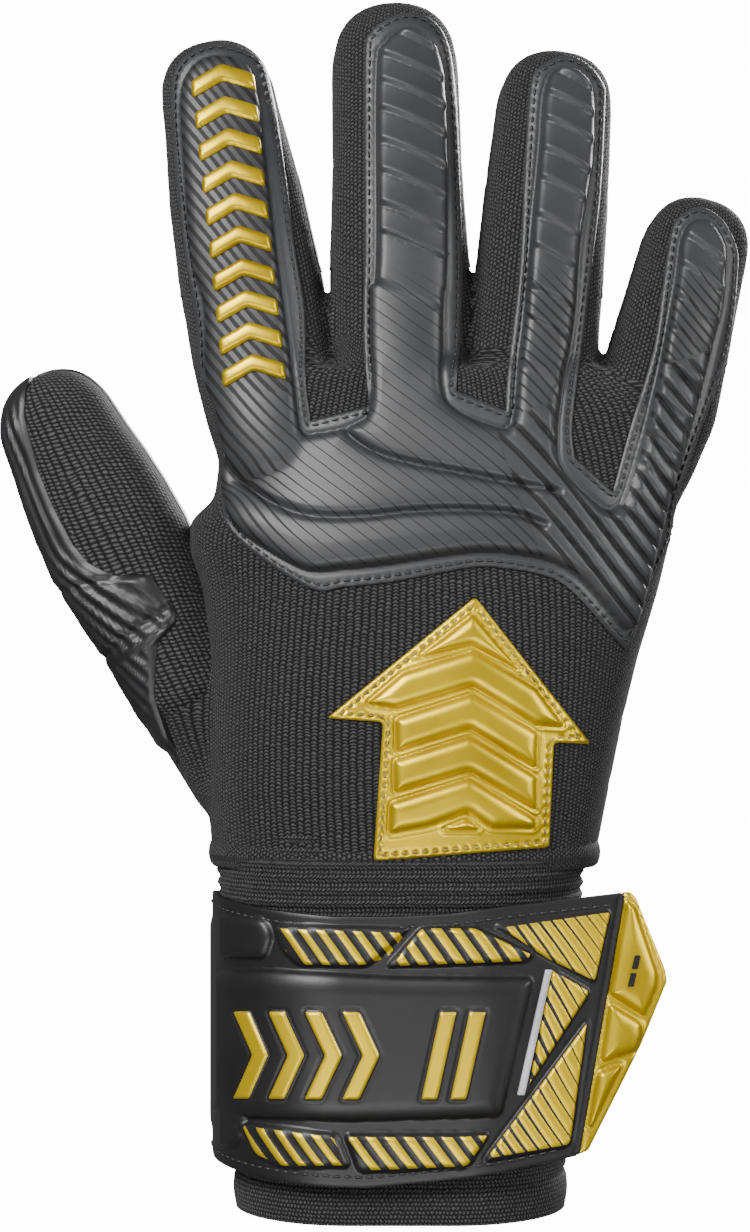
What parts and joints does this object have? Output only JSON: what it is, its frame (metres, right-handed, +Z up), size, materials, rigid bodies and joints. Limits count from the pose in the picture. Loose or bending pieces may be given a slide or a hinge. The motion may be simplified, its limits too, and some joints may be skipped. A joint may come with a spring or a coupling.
{
  "type": "goalkeeper glove",
  "caption": "Right-hand goalkeeper glove with padded latex palm, embossed finger pads, elastic wrist bandage and wrap strap with a pull tab.",
  "frame": {"origin": "centre of the wrist opening, in the plane of the bandage's bottom edge", "axes": "+Z up the forearm to the fingertips, +X from the thumb side to the little finger, +Y towards the palm, so the back of the hand faces -Y"},
  "size_m": [0.1668, 0.0664, 0.2639],
  "materials": {
    "bandage_knit": "ribbed elastic knit",
    "strap_shell": "moulded satin rubber",
    "strap_backing": "brushed loop cloth",
    "loop": "loop pile",
    "hook": "moulded hooks",
    "strip": "grey reflective tape",
    "gold": "gold foil over moulded rubber",
    "palm_foam": "closed-cell latex foam",
    "mesh": "open airmesh knit",
    "lining": "smooth lining cloth",
    "knuckle_rubber": "embossed and printed latex",
    "saddle": "latex foam wrap",
    "finger_pad": "embossed latex strip",
    "gusset": "stretch knit"
  },
  "bodies": {
    "cuff": {"elastic_bandage": "bandage_knit", "strap_wrap_backing": "strap_backing", "strap_wrap_shell": "strap_shell", "loop_patch": "loop"},
    "strap_front": {"strap_front_shell": "strap_shell", "strap_front_backing": "strap_backing", "strap_centre_pad": "strap_shell"},
    "strap_end": {"strap_end_shell": "strap_shell", "strap_end_backing": "strap_backing", "reflective_strip": "strip", "hook_patch": "hook"},
    "pull_tab": {"pull_tab": "gold"},
    "palm": {"palm_latex": "palm_foam", "back_of_hand_mesh": "mesh", "palm_lining": "lining", "knuckle_pad": "knuckle_rubber", "arrow_patch": "gold", "thumb_saddle": "saddle"},
    "index_base": {"index_base_back_pad": "finger_pad", "index_base_gusset": "gusset", "index_base_palm_latex": "palm_foam", "index_base_raised_bars": "gold"},
    "index_tip": {"index_tip_back_pad": "finger_pad", "index_tip_gusset": "gusset", "index_tip_palm_latex": "palm_foam", "index_tip_raised_bars": "gold"},
    "middle_base": {"middle_base_back_pad": "finger_pad", "middle_base_gusset": "gusset", "middle_base_palm_latex": "palm_foam"},
    "middle_tip": {"middle_tip_back_pad": "finger_pad", "middle_tip_gusset": "gusset", "middle_tip_palm_latex": "palm_foam"},
    "ring_base": {"ring_base_back_pad": "finger_pad", "ring_base_gusset": "gusset", "ring_base_palm_latex": "palm_foam"},
    "ring_tip": {"ring_tip_back_pad": "finger_pad", "ring_tip_gusset": "gusset", "ring_tip_palm_latex": "palm_foam"},
    "little_base": {"little_base_back_pad": "finger_pad", "little_base_gusset": "gusset", "little_base_palm_latex": "palm_foam"},
    "little_tip": {"little_tip_back_pad": "finger_pad", "little_tip_gusset": "gusset", "little_tip_palm_latex": "palm_foam"},
    "thumb_base": {"thumb_base_gusset": "gusset", "thumb_base_mesh_back": "mesh", "thumb_base_palm_latex": "palm_foam"},
    "thumb_tip": {"thumb_tip_gusset": "gusset", "thumb_tip_mesh_back": "mesh", "thumb_tip_palm_latex": "palm_foam"}
  },
  "joints": [
    {"name": "wrist", "type": "hinge", "parent": "cuff", "child": "palm", "pos_m": [0.0005, 0, 0.0725], "axis": [-1, 0, 0], "range_deg": [-20, 20], "stiffness_Nm_per_rad": 0.6},
    {"name": "strap_front_peel", "type": "hinge", "parent": "cuff", "child": "strap_front", "pos_m": [-0.04348, -0.003, 0.038], "axis": [0, 0, -1], "range_deg": [0, 110]},
    {"name": "strap_end_peel", "type": "hinge", "parent": "strap_front", "child": "strap_end", "pos_m": [0.018, -0.03216, 0.038], "axis": [0, 0, -1], "range_deg": [0, 90]},
    {"name": "pull_tab_lift", "type": "hinge", "parent": "strap_end", "child": "pull_tab", "pos_m": [0.038, -0.02935, 0.0155], "axis": [-0.1668, -0.0234, -0.9857], "range_deg": [0, 45]},
    {"name": "index_root_flex", "type": "hinge", "parent": "palm", "child": "index_base", "pos_m": [-0.02918, 0.002, 0.18411], "axis": [-0.9839, 0, -0.1788], "range_deg": [0, 65], "stiffness_Nm_per_rad": 0.08},
    {"name": "index_middle_flex", "type": "hinge", "parent": "index_base", "child": "index_tip", "pos_m": [-0.03377, 0.00424, 0.20936], "axis": [-0.9839, 0, -0.1788], "range_deg": [0, 75], "stiffness_Nm_per_rad": 0.05},
    {"name": "middle_root_flex", "type": "hinge", "parent": "palm", "child": "middle_base", "pos_m": [0.0008, 0.002, 0.18641], "axis": [-0.9998, 0, -0.0209], "range_deg": [0, 65], "stiffness_Nm_per_rad": 0.08},
    {"name": "middle_middle_flex", "type": "hinge", "parent": "middle_base", "child": "middle_tip", "pos_m": [0.00022, 0.00441, 0.21406], "axis": [-0.9998, 0, -0.0209], "range_deg": [0, 75], "stiffness_Nm_per_rad": 0.05},
    {"name": "ring_root_flex", "type": "hinge", "parent": "palm", "child": "ring_base", "pos_m": [0.02929, 0.002, 0.18241], "axis": [-0.9952, 0, 0.0976], "range_deg": [0, 65], "stiffness_Nm_per_rad": 0.08},
    {"name": "ring_middle_flex", "type": "hinge", "parent": "ring_base", "child": "ring_tip", "pos_m": [0.03179, 0.00424, 0.20795], "axis": [-0.9952, 0, 0.0976], "range_deg": [0, 75], "stiffness_Nm_per_rad": 0.05},
    {"name": "little_root_flex", "type": "hinge", "parent": "palm", "child": "little_base", "pos_m": [0.05658, 0.002, 0.17442], "axis": [-0.9659, 0, 0.2588], "range_deg": [0, 65], "stiffness_Nm_per_rad": 0.08},
    {"name": "little_middle_flex", "type": "hinge", "parent": "little_base", "child": "little_tip", "pos_m": [0.06128, 0.00359, 0.19198], "axis": [-0.9659, 0, 0.2588], "range_deg": [0, 75], "stiffness_Nm_per_rad": 0.05},
    {"name": "thumb_root_flex", "type": "hinge", "parent": "palm", "child": "thumb_base", "pos_m": [-0.04448, 0.00597, 0.11263], "axis": [-0.8695, 0.1736, -0.4623], "range_deg": [0, 30], "stiffness_Nm_per_rad": 0.08},
    {"name": "thumb_middle_flex", "type": "hinge", "parent": "thumb_base", "child": "thumb_tip", "pos_m": [-0.06205, 0.00727, 0.14618], "axis": [-0.8695, 0.1736, -0.4623], "range_deg": [0, 45], "stiffness_Nm_per_rad": 0.05}
  ]
}
